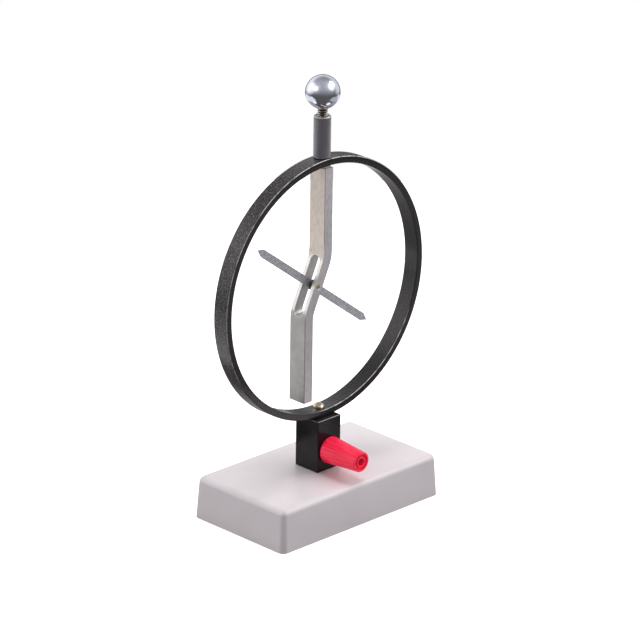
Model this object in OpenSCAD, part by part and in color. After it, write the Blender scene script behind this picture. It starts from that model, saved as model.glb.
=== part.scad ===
// Pivoted-needle electroscope: a hoop case on a moulded base, an insulated
// dog-leg conductor that carries a balanced needle, and a screw terminal.
// Millimetres. The origin is the centre of the base's underside. +X runs along
// the base and lies in the plane of the hoop, -Y is the terminal's side, +Z is up.

/* [Base] */
// Length of the base at its foot
base_length = 121.5; // [105:0.5:150]
// Depth of the base at its foot
base_depth = 71; // [60:0.5:90]
// Height of the base
base_height = 24.5; // [23:0.5:36]
// Draft of the base's sides, in degrees
base_draft = 3; // [1:0.1:6]
// Radius of the base's upright corners
base_corner_r = 3.7; // [3:0.1:8]
// Radius of the base's top edge
base_edge_r = 3.5; // [1:0.1:4]
// Thickness of the base's sides
base_wall = 2.5; // [1.8:0.1:4]
// Thickness of the base's top
base_top = 3; // [2:0.1:5]
// Diameter of the screw boss under the top
boss_d = 16; // [14:0.5:22]
// Length of the screw boss below the top
boss_length = 10; // [6:0.5:11]
// Thickness of the stiffening ribs
rib_t = 2; // [1.2:0.1:3]
// Depth of the stiffening ribs below the top
rib_depth = 8; // [4:0.5:12]

/* [Base screw] */
// Thread diameter of the screw that holds the pillar
base_screw_d = 5; // [4:0.1:6]
// Head diameter of that screw
base_screw_head_d = 9.5; // [8.5:0.1:11]
// Head height of that screw
base_screw_head_h = 3.7; // [2.5:0.1:4.5]
// Reach of that screw into the pillar
base_screw_reach = 8; // [6:0.5:8.5]
// Diameter of the flat washer
flat_washer_d = 13; // [12:0.1:14]
// Thickness of the flat washer
flat_washer_t = 1.1; // [0.8:0.1:1.6]
// Diameter of the split lock washer
lock_washer_d = 9.2; // [8:0.1:10]
// Thickness of the split lock washer
lock_washer_t = 1.3; // [0.9:0.1:1.6]
// Width of the lock washer's split
lock_washer_split = 0.8; // [0.4:0.1:1.2]

/* [Pillar] */
// Width of the square pillar
pillar_width = 17.6; // [15:0.1:24]
// Height of the pillar above the base
pillar_height = 30.5; // [28:0.5:45]
// Chamfer on the pillar's upright edges
pillar_chamfer = 0.4; // [0.1:0.1:1]

/* [Hoop] */
// Outside diameter of the hoop
hoop_d = 150; // [140:1:180]
// Thickness of the hoop's strip
hoop_t = 4; // [2.5:0.1:5]
// Width of the hoop's strip
hoop_width = 10.2; // [9:0.1:16]
// Chamfer on the strip's edges
hoop_chamfer = 0.45; // [0.1:0.05:0.8]
// Thread diameter of the hoop screw
hoop_screw_d = 4; // [3:0.1:5]
// Head diameter of the hoop screw
hoop_screw_head_d = 6.5; // [5.8:0.1:8]
// Head height of the hoop screw
hoop_screw_head_h = 2.6; // [1.8:0.1:3.2]
// Reach of the hoop screw into the pillar
hoop_screw_reach = 10; // [6:0.5:11]

/* [Insulation] */
// Diameter of the insulating sleeve above the hoop
sleeve_d = 9.5; // [8.5:0.1:12]
// Length of the insulating sleeve
sleeve_length = 23.8; // [15:0.2:35]
// Chamfer at both ends of the sleeve
sleeve_chamfer = 0.5; // [0.2:0.1:1]
// Diameter of the bush where it passes through the hoop
bush_d = 7.4; // [7:0.1:8.2]
// Diameter of the bush's flange inside the hoop
bush_flange_d = 9.5; // [8.8:0.1:12]
// Thickness of the bush's flange
bush_flange_t = 0.9; // [0.6:0.1:2]

/* [Knob] */
// Diameter of the ball knob
ball_d = 19; // [14:0.5:30]
// Diameter of the flat under the ball
ball_flat_d = 6.2; // [6:0.1:8]
// Length of bare thread between the sleeve and the ball
neck_length = 4.2; // [1:0.1:8]
// Thread diameter of the knob's stud
stud_d = 5.8; // [5:0.1:6]
// Reach of the stud into the ball
stud_reach = 9; // [5:0.5:10]
// Diameter of the stud's thin end, which screws into the bar
stud_tail_d = 4; // [3:0.1:4.4]
// Reach of the stud's thin end into the bar
stud_tail_reach = 14; // [8:0.5:20]

/* [Conductor bar] */
// Width of the bar, across the hoop's plane
bar_width = 11.5; // [10:0.1:14]
// Thickness of the bar, along the hoop's plane
bar_t = 6; // [5.4:0.1:8]
// Sideways step of the dog-leg
bar_step = 13.8; // [12:0.1:18]
// Height between the two bends' corners
bend_rise = 30; // [26:0.5:36]
// Bend radius at the bar's centre line
bend_r = 18; // [10:0.5:22]
// Gap between the bar's foot and the inside of the hoop
bar_foot_gap = 8.2; // [6:0.1:20]
// Drop from the bar's top to the needle's pivot
pivot_drop = 66.7; // [60:0.1:75]
// Width of the needle's slot
slot_width = 6.9; // [6:0.1:7.4]
// Height of the needle's slot
slot_length = 32.4; // [28:0.1:38]

/* [Needle] */
// Width of the needle's strip
needle_width = 4.5; // [3:0.1:5]
// Thickness of the needle's strip
needle_t = 0.5; // [0.3:0.05:0.8]
// Length of the needle's upper arm
upper_arm = 50.3; // [40:0.1:54]
// Length of the needle's lower arm
lower_arm = 53.7; // [42:0.1:56]
// Length of the point at each end of the needle
needle_point = 4.6; // [2:0.1:8]
// Lean of the needle from upright as it stands, in degrees
needle_lean = 53.5; // [20:0.5:90]

/* [Pivot] */
// Diameter of the needle's axle
axle_d = 1; // [0.8:0.05:1.2]
// Length of the axle's points
axle_point = 0.5; // [0.3:0.05:0.8]
// Diameter of the hub's disc in front of the needle
hub_disc_d = 5.8; // [4:0.1:6]
// Thickness of the hub's disc
hub_disc_t = 0.7; // [0.4:0.05:0.9]
// Diameter of the hub's boss
hub_boss_d = 2.6; // [2:0.1:3.4]
// Length of the hub's boss in front of its disc
hub_boss_length = 1.4; // [0.8:0.1:1.5]
// Diameter of the hub's spigot through the needle
hub_spigot_d = 1.9; // [1.7:0.05:2.2]
// Diameter of the ring that locks the hub from behind
hub_ring_d = 3.4; // [2.8:0.1:4.4]
// Thickness of that ring
hub_ring_t = 0.9; // [0.5:0.05:1.4]
// Diameter of the two bearing pins in the bar's rails
bearing_d = 1.9; // [1.8:0.05:2.4]
// How far the bearing pins reach into the slot
bearing_reach = 0.25; // [0.1:0.05:0.5]
// How far the bearing pins stand out of the rails
bearing_proud = 0.12; // [0:0.02:0.3]
// Depth of the cup that the axle runs in
cup_depth = 1.6; // [1:0.1:1.9]

/* [Terminal] */
// Height of the terminal's axis above the pillar's foot
terminal_rise = 12.1; // [12:0.1:16]
// Diameter of the red cap at the pillar
cap_base_d = 15.5; // [13.5:0.1:17]
// Diameter of the red cap at its tip
cap_tip_d = 11.5; // [11:0.1:13]
// Length of the red cap
cap_length = 24.85; // [22:0.05:32]
// Gap between the cap and the pillar
cap_gap = 0.35; // [0.3:0.05:1]
// Rounding at the cap's ends
cap_edge = 0.6; // [0.2:0.1:0.8]
// Outside diameter of the groove in the cap's tip
groove_outer_d = 9.2; // [8.4:0.1:9.6]
// Inside diameter of the groove in the cap's tip
groove_inner_d = 6.2; // [5.6:0.1:6.6]
// Depth of the groove in the cap's tip
groove_depth = 2; // [0.8:0.1:2.2]
// Thickness of plastic in front of the terminal's post
cap_nose = 2.7; // [2.4:0.1:4]
// Diameter of the recess in the cap's foot
cap_recess_d = 11.4; // [11:0.1:12]
// Diameter of the brass insert in the cap
insert_d = 9; // [7.5:0.1:9.4]
// Length of the brass insert
insert_length = 12; // [8:0.5:14]
// Diameter of the plug socket in the post
socket_d = 4; // [3:0.1:4.4]
// Depth of the plug socket
socket_depth = 17; // [10:0.5:17]
// Thread diameter of the terminal's post
post_d = 6; // [5.6:0.1:6.6]
// Diameter of the post's flange at the pillar
post_flange_d = 9; // [7.5:0.1:10]
// Thickness of the post's flange
post_flange_t = 1.2; // [0.8:0.1:2]
// Thread diameter of the post's tail in the pillar
post_tail_d = 5; // [4.6:0.1:5.4]
// Reach of the post's tail into the pillar
post_tail_reach = 9.5; // [5:0.5:11]
// Diameter of the wire hole across the post
wire_hole_d = 1.8; // [1:0.1:2]
// Diameter of the loose clamp washer
clamp_washer_d = 10.4; // [8.5:0.1:10.6]
// Thickness of the loose clamp washer
clamp_washer_t = 0.8; // [0.5:0.1:1.2]

/* [Fits] */
// Radial clearance of a screw in its tapped hole
thread_fit = 0.05; // [0.02:0.01:0.08]
// Radial clearance of a screw in a plain hole
screw_clearance = 0.25; // [0.15:0.05:0.4]
// Radial clearance of the plug in the cap's mouth
plug_clearance = 0.3; // [0.2:0.05:0.4]
// Radial clearance of a piece pressed or pushed into its seat
push_fit = 0.02; // [0.01:0.01:0.05]
// Radial clearance of the axle in its cups
axle_fit = 0.03; // [0.02:0.01:0.06]
// Gap between faces that part when a piece moves
face_gap = 0.3; // [0.2:0.05:0.4]

/* [Hidden] */
$fn = 64;
// How far a cutter runs past the face that it cuts
cut = 1;
// Steps in the drawn outline of one bend
bend_steps = 8;

draft_per_mm = tan(base_draft);
edge_r = min(base_edge_r, base_corner_r - 0.2);
cavity_top = base_height - base_top;
boss_foot = cavity_top - boss_length;

pillar_top = base_height + pillar_height;
hoop_z = pillar_top + hoop_d / 2;
hoop_inner_r = hoop_d / 2 - hoop_t;
hoop_crown = hoop_z + hoop_d / 2;
// Height difference between the hoop's centre and its inner face, a distance r off the middle
function inner_rise(r) = sqrt(hoop_inner_r * hoop_inner_r - r * r);
hoop_screw_seat = hoop_z - inner_rise(hoop_screw_head_d / 2);

bush_top = hoop_z + inner_rise(bush_flange_d / 2);
bar_top = bush_top - bush_flange_t;
bar_foot = hoop_z - hoop_inner_r + bar_foot_gap;
sleeve_top = hoop_crown + sleeve_length;
ball_flat_z = sleeve_top + neck_length;
ball_z = ball_flat_z + sqrt(pow(ball_d / 2, 2) - pow(ball_flat_d / 2, 2));

pivot_x = -bar_step / 2;
pivot_z = bar_top - pivot_drop;
bend_angle = atan(bar_step / bend_rise);
bend_reach = bend_r * tan(bend_angle / 2);
bearing_inner = slot_width / 2 - bearing_reach;
bearing_outer = bar_width / 2 + bearing_proud;
cup_end = bearing_inner + cup_depth;
axle_half = cup_end - 0.1;

terminal_z = base_height + terminal_rise;
// Distances along the terminal are measured out from the pillar's front face
cap_tip = cap_gap + cap_length;
post_length = cap_tip - cap_nose - face_gap;
washer_start = post_flange_t + face_gap;
insert_start = washer_start + clamp_washer_t + face_gap;
insert_end = insert_start + insert_length;
wire_hole_at = insert_start + wire_hole_d / 2;

// A box with drafted sides, rounded corners and a rounded top edge, sized at z = 0
module drafted_box(length, depth, foot_z, top_z, corner_r, top_r) {
  function half(size, z) = size / 2 - corner_r - z * draft_per_mm;
  hull()
    for (sx = [-1, 1], sy = [-1, 1]) {
      translate([sx * half(length, foot_z), sy * half(depth, foot_z), foot_z])
        cylinder(r = corner_r, h = 0.01, $fn = 32);
      translate([sx * half(length, top_z), sy * half(depth, top_z), top_z - top_r])
        rotate_extrude($fn = 32)
          intersection() {
            translate([corner_r - top_r, 0]) circle(r = top_r, $fn = 32);
            translate([0, -top_r]) square([corner_r, 2 * top_r]);
          }
    }
}

// A flat ring from z = 0 up
module flat_ring(outer_d, inner_d, height) {
  difference() {
    cylinder(d = outer_d, h = height);
    translate([0, 0, -cut]) cylinder(d = inner_d, h = height + 2 * cut);
  }
}

// A pan-head screw with a cross recess: the head sits on z = 0, the shank hangs below
module pan_screw(shank_d, shank_length, head_d, head_h) {
  crown = head_h * 0.55;
  crown_r = (pow(head_d / 2, 2) + crown * crown) / (2 * crown);
  arm = head_d * 0.56;
  arm_w = head_d * 0.15;
  difference() {
    intersection() {
      cylinder(d = head_d, h = head_h);
      translate([0, 0, head_h - crown_r]) sphere(r = crown_r, $fn = 96);
    }
    for (turn = [0, 90])
      rotate(turn)
        translate([-arm / 2, -arm_w / 2, head_h * 0.5]) cube([arm, arm_w, head_h]);
  }
  translate([0, 0, -shank_length]) cylinder(d = shank_d, h = shank_length + 0.01);
}

// Turns a piece drawn along +Z so that it runs out of the pillar's front face
module on_terminal() {
  translate([0, -pillar_width / 2, terminal_z]) rotate([90, 0, 0]) children();
}

// Turns a piece drawn along +Z so that it runs along the pivot, +Z towards the front
module on_pivot() {
  translate([pivot_x, 0, pivot_z]) rotate([90, 0, 0]) children();
}

// Hollow moulded base, open below, with a screw boss and crossed ribs under its top
module base_shell() {
  color([0.86, 0.84, 0.85])
    difference() {
      drafted_box(base_length, base_depth, 0, base_height, base_corner_r, edge_r);
      difference() {
        drafted_box(base_length - 2 * base_wall, base_depth - 2 * base_wall, -cut, cavity_top,
                    max(base_corner_r - base_wall, 1), 0.8);
        translate([0, 0, boss_foot]) cylinder(d = boss_d, h = boss_length + cut);
        for (size = [[base_length, rib_t], [rib_t, base_depth]])
          translate([-size[0] / 2, -size[1] / 2, cavity_top - rib_depth])
            cube([size[0], size[1], rib_depth + cut]);
      }
      translate([0, 0, boss_foot - cut])
        cylinder(r = base_screw_d / 2 + screw_clearance, h = base_height - boss_foot + 2 * cut);
    }
}

// Screw that draws the pillar down on the base, put in from below
module base_screw() {
  seat = boss_foot - flat_washer_t - lock_washer_t;
  color([0.75, 0.75, 0.77])
    translate([0, 0, seat])
      mirror([0, 0, 1])
        pan_screw(base_screw_d, base_height + base_screw_reach - seat,
                  base_screw_head_d, base_screw_head_h);
}

module base_flat_washer() {
  color([0.78, 0.78, 0.8])
    translate([0, 0, boss_foot - flat_washer_t])
      flat_ring(flat_washer_d, base_screw_d + 2 * screw_clearance, flat_washer_t);
}

module base_lock_washer() {
  color([0.6, 0.6, 0.62])
    translate([0, 0, boss_foot - flat_washer_t - lock_washer_t])
      difference() {
        flat_ring(lock_washer_d, base_screw_d + 2 * push_fit, lock_washer_t);
        translate([0, -lock_washer_split / 2, -cut])
          cube([lock_washer_d, lock_washer_split, lock_washer_t + 2 * cut]);
      }
}

// Square pillar, tapped for the base screw, the hoop screw and the terminal's post
module pillar_block() {
  w = pillar_width / 2;
  c = w - pillar_chamfer;
  color([0.16, 0.16, 0.17])
    difference() {
      translate([0, 0, base_height])
        linear_extrude(height = pillar_height)
          polygon([[w, -c], [w, c], [c, w], [-c, w], [-w, c], [-w, -c], [-c, -w], [c, -w]]);
      translate([0, 0, base_height - cut])
        cylinder(r = base_screw_d / 2 + thread_fit, h = base_screw_reach + 0.3 + cut);
      translate([0, 0, pillar_top - hoop_screw_reach - 0.3])
        cylinder(r = hoop_screw_d / 2 + thread_fit, h = hoop_screw_reach + 0.3 + cut);
      on_terminal()
        translate([0, 0, -post_tail_reach - 0.3])
          cylinder(r = post_tail_d / 2 + thread_fit, h = post_tail_reach + 0.3 + cut);
    }
}

// Rolled strip hoop, drilled for its screw below and for the insulating bush above
module hoop() {
  r0 = hoop_inner_r;
  r1 = hoop_d / 2;
  h = hoop_width / 2;
  c = hoop_chamfer;
  color([0.2, 0.2, 0.21])
    difference() {
      translate([0, 0, hoop_z])
        rotate([90, 0, 0])
          rotate_extrude($fn = 180)
            polygon([[r0, -h + c], [r0 + c, -h], [r1 - c, -h], [r1, -h + c],
                     [r1, h - c], [r1 - c, h], [r0 + c, h], [r0, h - c]]);
      translate([0, 0, pillar_top - cut])
        cylinder(r = hoop_screw_d / 2 + screw_clearance, h = hoop_t + 2 * cut);
      translate([0, 0, hoop_crown - hoop_t - cut])
        cylinder(r = bush_d / 2 + push_fit, h = hoop_t + 2 * cut);
    }
}

module hoop_screw() {
  color([0.8, 0.68, 0.4])
    translate([0, 0, hoop_screw_seat])
      pan_screw(hoop_screw_d, hoop_screw_seat - pillar_top + hoop_screw_reach,
                hoop_screw_head_d, hoop_screw_head_h);
}

// Flanged insulator between the bar and the hoop
module insulating_bush() {
  color([0.3, 0.3, 0.33])
    difference() {
      union() {
        translate([0, 0, bar_top]) cylinder(d = bush_flange_d, h = bush_flange_t);
        translate([0, 0, bar_top]) cylinder(d = bush_d, h = hoop_crown - bar_top - 0.2);
      }
      translate([0, 0, bar_top - cut])
        cylinder(r = stud_d / 2 + thread_fit, h = hoop_crown - bar_top + 2 * cut);
    }
}

// Insulating sleeve, which screws down on the stud like a long nut
module insulating_sleeve() {
  r = sleeve_d / 2;
  r0 = stud_d / 2 + thread_fit;
  c = sleeve_chamfer;
  h = sleeve_length;
  color([0.36, 0.36, 0.39])
    translate([0, 0, hoop_crown])
      rotate_extrude()
        polygon([[r0, 0], [r - c, 0], [r, c], [r, h - c], [r - c, h], [r0 + c, h], [r0, h - c]]);
}

module knob_stud() {
  r = stud_d / 2;
  tail_r = stud_tail_d / 2;
  top = ball_flat_z + stud_reach;
  foot = bar_top - stud_tail_reach;
  c = 0.5;
  color([0.62, 0.52, 0.36])
    rotate_extrude()
      polygon([[0, foot], [tail_r - c, foot], [tail_r, foot + c], [tail_r, bar_top],
               [r, bar_top], [r, top - c], [r - c, top], [0, top]]);
}

// Solid ball, drilled and tapped from a small flat underneath
module ball_knob() {
  color([0.85, 0.86, 0.88])
    difference() {
      translate([0, 0, ball_z]) sphere(d = ball_d, $fn = 128);
      translate([0, 0, ball_flat_z - ball_d]) cylinder(d = ball_d, h = ball_d);
      translate([0, 0, ball_flat_z - cut])
        cylinder(r = stud_d / 2 + thread_fit, h = stud_reach + 0.3 + cut);
    }
}

// Points of one bend, drawn about (x, z) from one angle to another
function arc_points(x, z, r, from, to) =
  [for (i = [0 : bend_steps])
    let (a = from + (to - from) * i / bend_steps) [x + r * cos(a), z + r * sin(a)]];

// One edge of the bar from top to foot: side is 1 for the +X edge and -1 for the -X edge
function bar_edge(side) = concat(
  [[side * bar_t / 2, bar_top]],
  arc_points(-bend_r, pivot_z + bend_rise / 2 + bend_reach, bend_r + side * bar_t / 2,
             0, -bend_angle),
  arc_points(bend_r - bar_step, pivot_z - bend_rise / 2 - bend_reach,
             bend_r - side * bar_t / 2, 180 - bend_angle, 180),
  [[side * bar_t / 2 - bar_step, bar_foot]]);

function reversed(list) = [for (i = [len(list) - 1 : -1 : 0]) list[i]];

// Dog-leg bar with the needle's slot, the two bearing holes and the stud's tapped hole
module conductor_bar() {
  slot_run = 4 * bar_t + 2 * bar_step;
  slot_end = slot_length / 2 - slot_width / 2;
  color([0.72, 0.71, 0.7])
    difference() {
      rotate([90, 0, 0])
        linear_extrude(height = bar_width, center = true)
          polygon(concat(bar_edge(1), reversed(bar_edge(-1))));
      translate([pivot_x, 0, pivot_z])
        cube([slot_run, slot_width, 2 * slot_end], center = true);
      for (end = [-1, 1])
        translate([pivot_x, 0, pivot_z + end * slot_end])
          rotate([0, 90, 0]) cylinder(d = slot_width, h = slot_run, center = true);
      on_pivot()
        cylinder(r = bearing_d / 2 + push_fit, h = bar_width + 2 * cut, center = true);
      translate([0, 0, bar_top - stud_tail_reach - 0.3])
        cylinder(r = stud_tail_d / 2 + thread_fit, h = stud_tail_reach + 0.3 + cut);
    }
}

// Bearing pin with a blind cup for one end of the axle, drawn out from the pivot's middle
module bearing_pin() {
  r = bearing_d / 2;
  cup_r = axle_d / 2 + axle_fit;
  c = 0.15;
  color([0.78, 0.55, 0.25])
    rotate_extrude()
      polygon([[cup_r, bearing_inner], [r - c, bearing_inner], [r, bearing_inner + c],
               [r, bearing_outer - c], [r - c, bearing_outer], [0, bearing_outer],
               [0, cup_end], [cup_r, cup_end - 0.3]]);
}

module front_bearing() {
  on_pivot() bearing_pin();
}

module rear_bearing() {
  on_pivot() mirror([0, 0, 1]) bearing_pin();
}

// Balanced strip needle with two points, leaning as it stands
module needle() {
  w = needle_width / 2;
  color([0.63, 0.64, 0.68])
    translate([pivot_x, 0, pivot_z])
      rotate([0, -needle_lean, 0])
        rotate([90, 0, 0])
          difference() {
            linear_extrude(height = needle_t, center = true)
              polygon([[0, upper_arm], [-w, upper_arm - needle_point],
                       [-w, needle_point - lower_arm], [0, -lower_arm],
                       [w, needle_point - lower_arm], [w, upper_arm - needle_point]]);
            cylinder(r = hub_spigot_d / 2 + push_fit, h = 4 * needle_t, center = true);
          }
}

// Turned hub: a disc and boss in front of the needle and a spigot through it
module needle_hub() {
  face = needle_t / 2;
  bore = axle_d / 2 + push_fit;
  boss_end = face + hub_disc_t + hub_boss_length;
  color([0.6, 0.6, 0.62])
    on_pivot()
      rotate_extrude()
        polygon([[bore, -face], [hub_spigot_d / 2, -face], [hub_spigot_d / 2, face],
                 [hub_disc_d / 2, face], [hub_disc_d / 2, face + hub_disc_t],
                 [hub_boss_d / 2, face + hub_disc_t], [hub_boss_d / 2, boss_end],
                 [bore, boss_end]]);
}

module hub_ring() {
  color([0.6, 0.6, 0.62])
    on_pivot()
      translate([0, 0, -needle_t / 2 - hub_ring_t])
        flat_ring(hub_ring_d, axle_d + 2 * push_fit, hub_ring_t);
}

// Axle with a point at each end
module needle_axle() {
  r = axle_d / 2;
  color([0.5, 0.5, 0.53])
    on_pivot()
      rotate_extrude()
        polygon([[0, -axle_half], [r, axle_point - axle_half],
                 [r, axle_half - axle_point], [0, axle_half]]);
}

// Threaded post with a plug socket, a flange at the pillar and a hole for a wire
module terminal_post() {
  r = post_d / 2;
  tail_r = post_tail_d / 2;
  socket_r = socket_d / 2;
  c = 0.3;
  color([0.8, 0.65, 0.35])
    on_terminal()
      difference() {
        rotate_extrude()
          polygon([[0, -post_tail_reach], [tail_r, -post_tail_reach], [tail_r, 0],
                   [post_flange_d / 2, 0], [post_flange_d / 2, post_flange_t],
                   [r, post_flange_t], [r, post_length - c], [r - c, post_length],
                   [socket_r, post_length], [socket_r, post_length - socket_depth],
                   [0, post_length - socket_depth]]);
        translate([0, 0, wire_hole_at])
          rotate([0, 90, 0]) cylinder(d = wire_hole_d, h = 2 * post_d, center = true);
      }
}

module clamp_washer() {
  color([0.82, 0.7, 0.42])
    on_terminal()
      translate([0, 0, washer_start])
        flat_ring(clamp_washer_d, post_d + 2 * thread_fit, clamp_washer_t);
}

module cap_insert() {
  color([0.8, 0.65, 0.35])
    on_terminal()
      translate([0, 0, insert_start])
        flat_ring(insert_d, post_d + 2 * thread_fit, insert_length);
}

// Tapered insulating cap, turned from one profile
module terminal_cap() {
  base_r = cap_base_d / 2;
  tip_r = cap_tip_d / 2;
  recess_r = cap_recess_d / 2;
  seat_r = insert_d / 2 + push_fit;
  post_r = post_d / 2 + screw_clearance;
  mouth_r = socket_d / 2 + plug_clearance;
  nose = cap_tip - cap_nose;
  e = cap_edge;
  color([0.88, 0.13, 0.22])
    on_terminal()
      rotate_extrude($fn = 96)
        polygon([[recess_r, cap_gap], [base_r - e, cap_gap], [base_r, cap_gap + e],
                 [tip_r, cap_tip - e], [tip_r - e, cap_tip],
                 [groove_outer_d / 2, cap_tip], [groove_outer_d / 2, cap_tip - groove_depth],
                 [groove_inner_d / 2, cap_tip - groove_depth], [groove_inner_d / 2, cap_tip],
                 [mouth_r, cap_tip], [mouth_r, nose], [post_r, nose], [post_r, insert_end],
                 [seat_r, insert_end], [seat_r, insert_start], [recess_r, insert_start]]);
}

base_shell();
base_screw();
base_flat_washer();
base_lock_washer();
pillar_block();
hoop();
hoop_screw();
insulating_bush();
insulating_sleeve();
knob_stud();
ball_knob();
conductor_bar();
front_bearing();
rear_bearing();
needle();
needle_hub();
hub_ring();
needle_axle();
terminal_post();
clamp_washer();
cap_insert();
terminal_cap();
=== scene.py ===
"""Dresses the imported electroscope: refined pieces, finishes, floor, light and camera."""
import math
from contextlib import contextmanager

import bmesh
import bpy
from mathutils import Matrix, Vector


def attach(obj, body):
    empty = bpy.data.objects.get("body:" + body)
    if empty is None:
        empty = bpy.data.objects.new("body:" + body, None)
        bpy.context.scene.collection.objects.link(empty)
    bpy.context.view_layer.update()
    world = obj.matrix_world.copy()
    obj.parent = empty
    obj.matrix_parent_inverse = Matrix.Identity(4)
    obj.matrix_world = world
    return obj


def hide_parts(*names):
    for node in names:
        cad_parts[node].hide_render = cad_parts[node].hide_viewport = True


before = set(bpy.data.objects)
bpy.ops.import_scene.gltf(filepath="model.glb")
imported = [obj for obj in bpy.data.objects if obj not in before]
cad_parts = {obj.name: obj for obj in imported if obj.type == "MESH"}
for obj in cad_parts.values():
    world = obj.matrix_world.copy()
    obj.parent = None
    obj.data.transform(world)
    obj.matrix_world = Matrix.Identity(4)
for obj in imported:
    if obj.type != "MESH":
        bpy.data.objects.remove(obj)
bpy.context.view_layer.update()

MM = 0.001
NEAR = 0.01  # millimetres by which a picked place may be off
WELD, FINE_WELD = 1e-6, 1e-7  # metres within which points are merged
CLEAR = 0.05  # millimetres between a screw and its tapped hole

# Base
BASE_LENGTH, BASE_DEPTH, BASE_HEIGHT = 121.5, 71.0, 24.5
BASE_DRAFT = math.radians(3.0)
BASE_CORNER, BASE_EDGE = 3.7, 3.5
BASE_WALL, BASE_TOP = 2.5, 3.0
CAVITY_TOP = BASE_HEIGHT - BASE_TOP
BOSS_R, BOSS_FOOT = 8.0, 11.5
RIB_T, RIB_DEPTH = 2.0, 8.0
BASE_HOLE_R, BASE_SCREW_R = 2.75, 2.5
FLAT_WASHER_T, LOCK_WASHER_T = 1.1, 1.3
BASE_SCREW_SEAT = BOSS_FOOT - FLAT_WASHER_T - LOCK_WASHER_T

# Pillar and hoop
PILLAR_W, PILLAR_TOP = 17.6, 55.0
HOOP_Z, HOOP_R, HOOP_T, HOOP_W = 130.0, 75.0, 4.0, 10.2
HOOP_CROWN = HOOP_Z + HOOP_R
HOOP_FOOT_HOLE_R, HOOP_CROWN_HOLE_R = 2.25, 3.72
HOOP_SCREW_R, HOOP_SCREW_HEAD = 2.0, 3.25
HOOP_SCREW_SEAT = HOOP_Z - math.sqrt((HOOP_R - HOOP_T) ** 2 - HOOP_SCREW_HEAD ** 2)

# Insulation, stud and ball
BAR_TOP = 199.941
SLEEVE_R, SLEEVE_TOP = 4.75, 228.8
STUD_R, STUD_TAIL_R, STUD_TAIL = 2.9, 2.0, 14.0
BALL_R, BALL_FLAT_R, BALL_FLAT_Z = 9.5, 3.1, 233.0
BALL_Z = BALL_FLAT_Z + math.sqrt(BALL_R ** 2 - BALL_FLAT_R ** 2)

# Conductor bar, needle and pivot
BAR_W, BAR_T, BAR_STEP, BAR_FOOT = 11.5, 6.0, 13.8, 67.2
BEND_R, BEND_RISE = 18.0, 30.0
BEND = math.atan(BAR_STEP / BEND_RISE)
BEND_REACH = BEND_R * math.tan(BEND / 2)
PIVOT = Vector((-6.9, 0.0, 133.241))
SLOT_W, SLOT_LENGTH, PIVOT_HOLE_R = 6.9, 32.4, 0.97
NEEDLE_W, NEEDLE_T = 4.5, 0.5
UPPER_ARM, LOWER_ARM, NEEDLE_POINT = 50.3, 53.7, 4.6
NEEDLE_LEAN = math.radians(53.5)

# Terminal: distances run out from the pillar's front face
TERMINAL = Vector((0.0, -PILLAR_W / 2, 36.6))
POST_R, POST_TAIL_R, FLANGE_R = 3.0, 2.5, 4.5
SOCKET_R, SOCKET_FLOOR = 2.0, 5.2
WIRE_HOLE, WIRE_HOLE_R = 3.53, 0.9
INSERT_FOOT, INSERT_TOP = 2.6, 14.6
CAP_FOOT, CAP_TIP, CAP_R, CAP_TIP_R = 0.35, 25.2, 7.75, 5.75
FLUTES, FLUTE_STEPS = 32, 8

# Camera: degrees, metres and pixels
CAMERA_AZIMUTH, CAMERA_ELEVATION, CAMERA_ROLL = -44.89, 21.40, 0.80
CAMERA_TARGET, CAMERA_DISTANCE = Vector((0.000135, -0.000134, 0.110572)), 2.3823
PICTURE, FOCAL_LENGTH = 640, 4353.7
SENSOR = 36.0  # millimetres


# Modelling helpers

def deselect():
    """Back to object mode with nothing selected."""
    active = bpy.context.view_layer.objects.active
    if active and active.mode != "OBJECT":
        bpy.ops.object.mode_set(mode="OBJECT")
    bpy.ops.object.select_all(action="DESELECT")


def take(piece):
    """Makes one piece the only selected and active one."""
    deselect()
    piece.select_set(True)
    bpy.context.view_layer.objects.active = piece


@contextmanager
def editing(piece, kind="VERT"):
    """Edit mode on one piece, with nothing selected at first."""
    take(piece)
    bpy.ops.object.mode_set(mode="EDIT")
    bpy.ops.mesh.select_mode(type=kind)
    bpy.ops.mesh.select_all(action="DESELECT")
    yield
    bpy.ops.object.mode_set(mode="OBJECT")


def middle(item):
    """Middle of a vertex, edge or face, in millimetres."""
    if hasattr(item, "co"):
        return item.co / MM
    if hasattr(item, "calc_center_median"):
        return item.calc_center_median() / MM
    return (item.verts[0].co + item.verts[1].co) / (2 * MM)


def pick(kind, test):
    """Selects, in edit mode, just the verts, edges or faces that pass the test."""
    shape = bmesh.from_edit_mesh(bpy.context.edit_object.data)
    bpy.ops.mesh.select_all(action="DESELECT")
    for item in getattr(shape, kind):
        if test(item):
            item.select_set(True)
    shape.select_flush_mode()
    bmesh.update_edit_mesh(bpy.context.edit_object.data)


def extrude(x, y, z):
    """Extrudes what is selected and moves it that many millimetres."""
    move = (x * MM, y * MM, z * MM)
    bpy.ops.mesh.extrude_region_move(TRANSFORM_OT_translate={"value": move})


def widen(across, deep):
    """Scales what is selected along X and along Y, about the Z axis."""
    bpy.ops.transform.resize(value=(across, deep, 1), center_override=(0, 0, 0))


def close_up(weld=0.0):
    """Merges doubled points all over, and turns every face outwards."""
    bpy.ops.mesh.select_all(action="SELECT")
    if weld:
        bpy.ops.mesh.remove_doubles(threshold=weld)
    bpy.ops.mesh.normals_make_consistent(inside=False)


def settle(piece):
    """Puts a piece's place, turn and size into its mesh."""
    take(piece)
    bpy.ops.object.transform_apply(location=True, rotation=True, scale=True)
    return piece


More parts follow.
